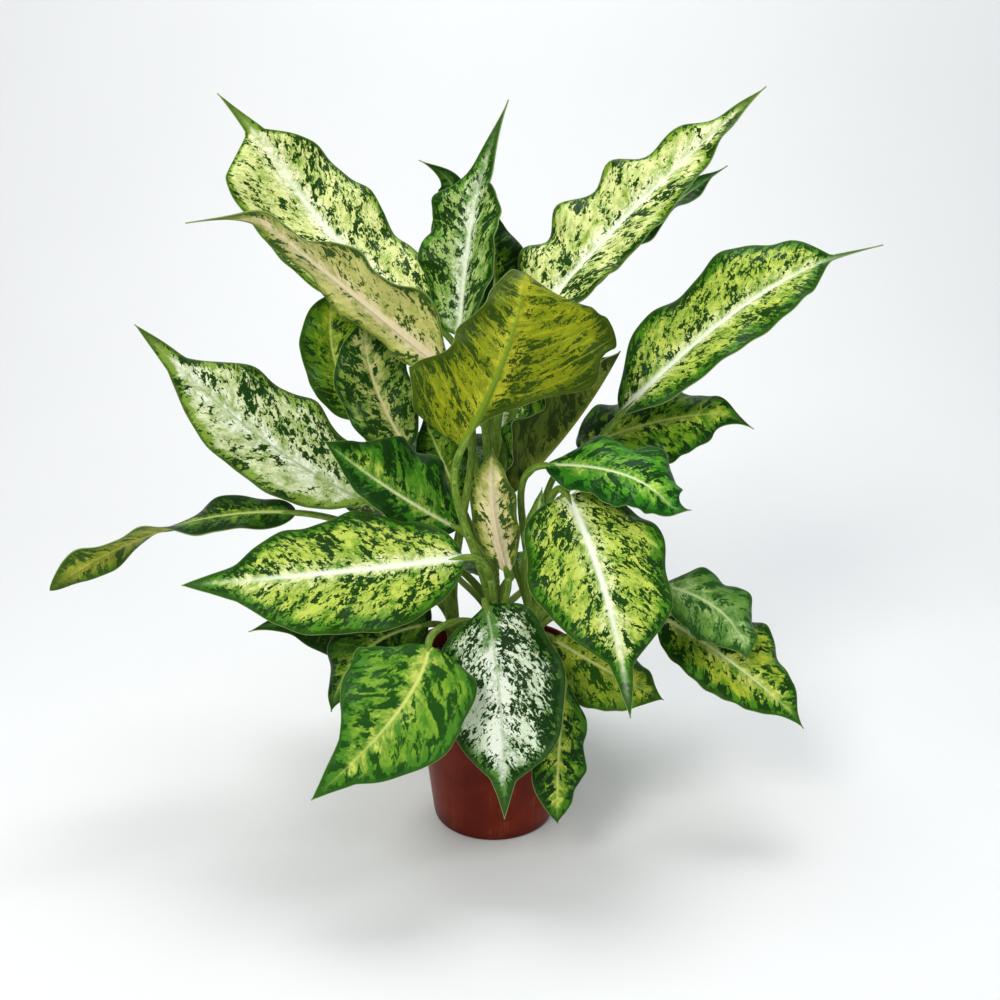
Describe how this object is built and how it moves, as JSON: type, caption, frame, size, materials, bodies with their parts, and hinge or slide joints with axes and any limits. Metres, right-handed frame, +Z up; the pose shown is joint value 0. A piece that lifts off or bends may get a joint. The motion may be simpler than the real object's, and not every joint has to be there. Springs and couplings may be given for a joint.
{
  "type": "potted plant",
  "caption": "Potted dieffenbachia with mottled, wavy leaves that fan out on long petioles from a round red-brown nursery pot of soil.",
  "frame": {"origin": "centre of the pot's underside, on the surface it stands on", "axes": "+Z up along the pot's axis, -Y towards the front of the plant, +X to the right as seen from the front"},
  "size_m": [0.6095, 0.3452, 0.5487],
  "materials": {
    "pot_plastic": "smooth moulded nursery plastic with faint dusty streaks",
    "soil": "damp crumbly potting mix",
    "petiole": "smooth fleshy green stem",
    "leaf": "satin leaf, cream and lime mottled with dark green"
  },
  "bodies": {
    "root": {"pot": "pot_plastic", "soil": "soil", "shoot_left": "petiole", "shoot_right": "petiole", "shoot_front": "petiole", "shoot_back": "petiole", "leaf_top_left": "leaf", "leaf_top_left_lower": "leaf", "leaf_top_centre": "leaf", "leaf_top_behind": "leaf", "leaf_top_hidden": "leaf", "leaf_top_right": "leaf", "leaf_top_right_behind": "leaf", "leaf_centre_large": "leaf", "leaf_centre_folded": "leaf", "leaf_left_back": "leaf", "leaf_left_back_inner": "leaf", "leaf_left_white": "leaf", "leaf_left_green": "leaf", "leaf_far_left": "leaf", "leaf_left_low": "leaf", "leaf_left_curled": "leaf", "leaf_left_small": "leaf", "leaf_front_left": "leaf", "leaf_front_white": "leaf", "leaf_front_hanging": "leaf", "leaf_front_right": "leaf", "leaf_right_small": "leaf", "leaf_right_high": "leaf", "leaf_right_dark": "leaf", "leaf_right_grey": "leaf", "leaf_right_low": "leaf", "leaf_front_olive": "leaf", "leaf_new_centre": "leaf", "leaf_new_spike": "leaf", "leaf_centre_dark": "leaf", "leaf_back_left": "leaf", "leaf_back_right": "leaf", "leaf_back_top": "leaf", "leaf_back_low_left": "leaf", "leaf_back_low_right": "leaf", "leaf_back_middle": "leaf"}
  },
  "joints": []
}
